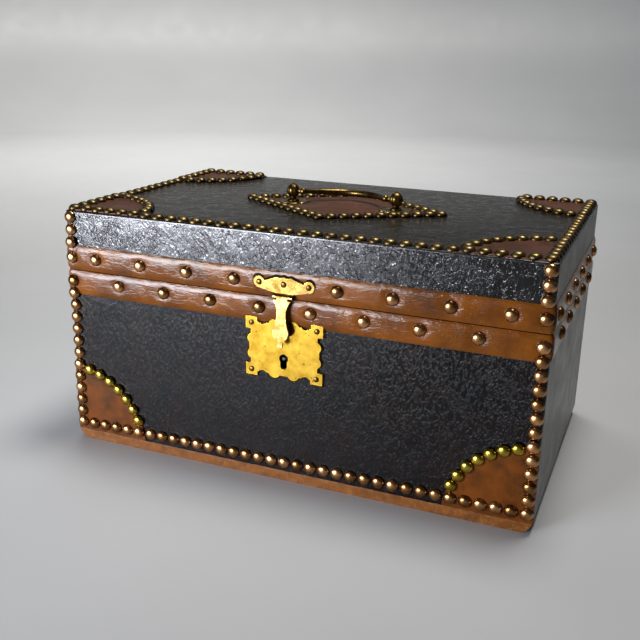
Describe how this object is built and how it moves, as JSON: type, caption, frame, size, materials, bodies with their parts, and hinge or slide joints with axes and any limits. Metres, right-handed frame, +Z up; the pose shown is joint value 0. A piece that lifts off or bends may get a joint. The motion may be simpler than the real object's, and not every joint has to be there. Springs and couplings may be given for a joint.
{
  "type": "stationery box",
  "caption": "Leather-covered box with a hinged lid, tan bands and patches edged in domed brass nails, a bail handle and a brass hasp lock.",
  "frame": {"origin": "centre of the box's underside, on the floor plane", "axes": "+X to the box's right as its front is faced, -Y out of the front, +Z up"},
  "size_m": [0.3584, 0.2242, 0.194],
  "materials": {
    "pine_board": "planed softwood",
    "black_crackled_leather": "glossy black finish over a crackled grain",
    "black_leather": "smooth, worn, half glossy",
    "tan_band_leather": "polished tan calf, dark along its edges",
    "tan_patch_leather": "orange-brown calf, half glossy",
    "coppery_brass_studs": "polished, aged to a copper tone",
    "yellow_brass_studs": "polished yellow brass",
    "polished_brass": "polished, with small scratches",
    "hinge_brass": "satin brass",
    "dark_brass": "dark antique brass",
    "nut_brass": "plain brass",
    "lock_iron": "bare iron",
    "lining_paper": "plain paper"
  },
  "bodies": {
    "base": {"base_bottom_board": "pine_board", "base_front_board": "pine_board", "base_back_board": "pine_board", "base_left_board": "pine_board", "base_right_board": "pine_board", "base_bottom_leather": "black_leather", "base_front_leather": "black_crackled_leather", "base_wrap_leather": "black_leather", "base_foot_strip": "tan_band_leather", "base_rim_band": "tan_band_leather", "base_left_patch": "tan_patch_leather", "base_right_patch": "tan_patch_leather", "base_edge_studs": "coppery_brass_studs", "base_patch_studs": "yellow_brass_studs", "base_band_studs": "coppery_brass_studs", "base_lining": "lining_paper", "lock_plate": "polished_brass", "lock_plate_pins": "dark_brass", "lock_case": "lock_iron", "lock_drill_pin": "lock_iron", "hinge_left_base_leaf": "hinge_brass", "hinge_right_base_leaf": "hinge_brass", "hinge_pins": "dark_brass", "hinge_base_screws": "dark_brass"},
    "lid": {"lid_top_board": "pine_board", "lid_front_board": "pine_board", "lid_back_board": "pine_board", "lid_left_board": "pine_board", "lid_right_board": "pine_board", "lid_top_leather": "black_leather", "lid_front_leather": "black_crackled_leather", "lid_wrap_leather": "black_leather", "lid_rim_band": "tan_band_leather", "lid_patch_front_left": "tan_patch_leather", "lid_patch_front_right": "tan_patch_leather", "lid_patch_back_left": "tan_patch_leather", "lid_patch_back_right": "tan_patch_leather", "lid_diamond_patch": "tan_patch_leather", "lid_edge_studs": "coppery_brass_studs", "lid_patch_studs": "yellow_brass_studs", "lid_band_studs": "coppery_brass_studs", "lid_diamond_studs": "yellow_brass_studs", "lid_lining": "lining_paper", "handle_left_post": "dark_brass", "handle_right_post": "dark_brass", "handle_left_rosette": "dark_brass", "handle_right_rosette": "dark_brass", "handle_nuts": "nut_brass", "hasp_plate": "polished_brass", "hasp_plate_pins": "dark_brass", "hasp_pin": "dark_brass", "hinge_left_lid_leaf": "hinge_brass", "hinge_right_lid_leaf": "hinge_brass", "hinge_lid_screws": "dark_brass"},
    "handle": {"bail_grip": "dark_brass", "bail_ends": "dark_brass"},
    "hasp": {"hasp_tongue": "polished_brass", "hasp_staple": "dark_brass"},
    "bolt": {"lock_bolt": "lock_iron"}
  },
  "joints": [
    {"name": "lid_hinge", "type": "hinge", "parent": "base", "child": "lid", "pos_m": [0, 0.1085, 0.1352], "axis": [-1, 0, 0], "range_deg": [0, 105]},
    {"name": "handle_swing", "type": "hinge", "parent": "lid", "child": "handle", "pos_m": [0, 0, 0.1881], "axis": [1, 0, 0], "range_deg": [0, 192]},
    {"name": "hasp_swing", "type": "hinge", "parent": "lid", "child": "hasp", "pos_m": [0, -0.108, 0.1366], "axis": [-1, 0, 0], "range_deg": [-8.8, 135]},
    {"name": "bolt_slide", "type": "slide", "parent": "base", "child": "bolt", "axis": [-1, 0, 0], "range_m": [0, 0.0047]}
  ]
}
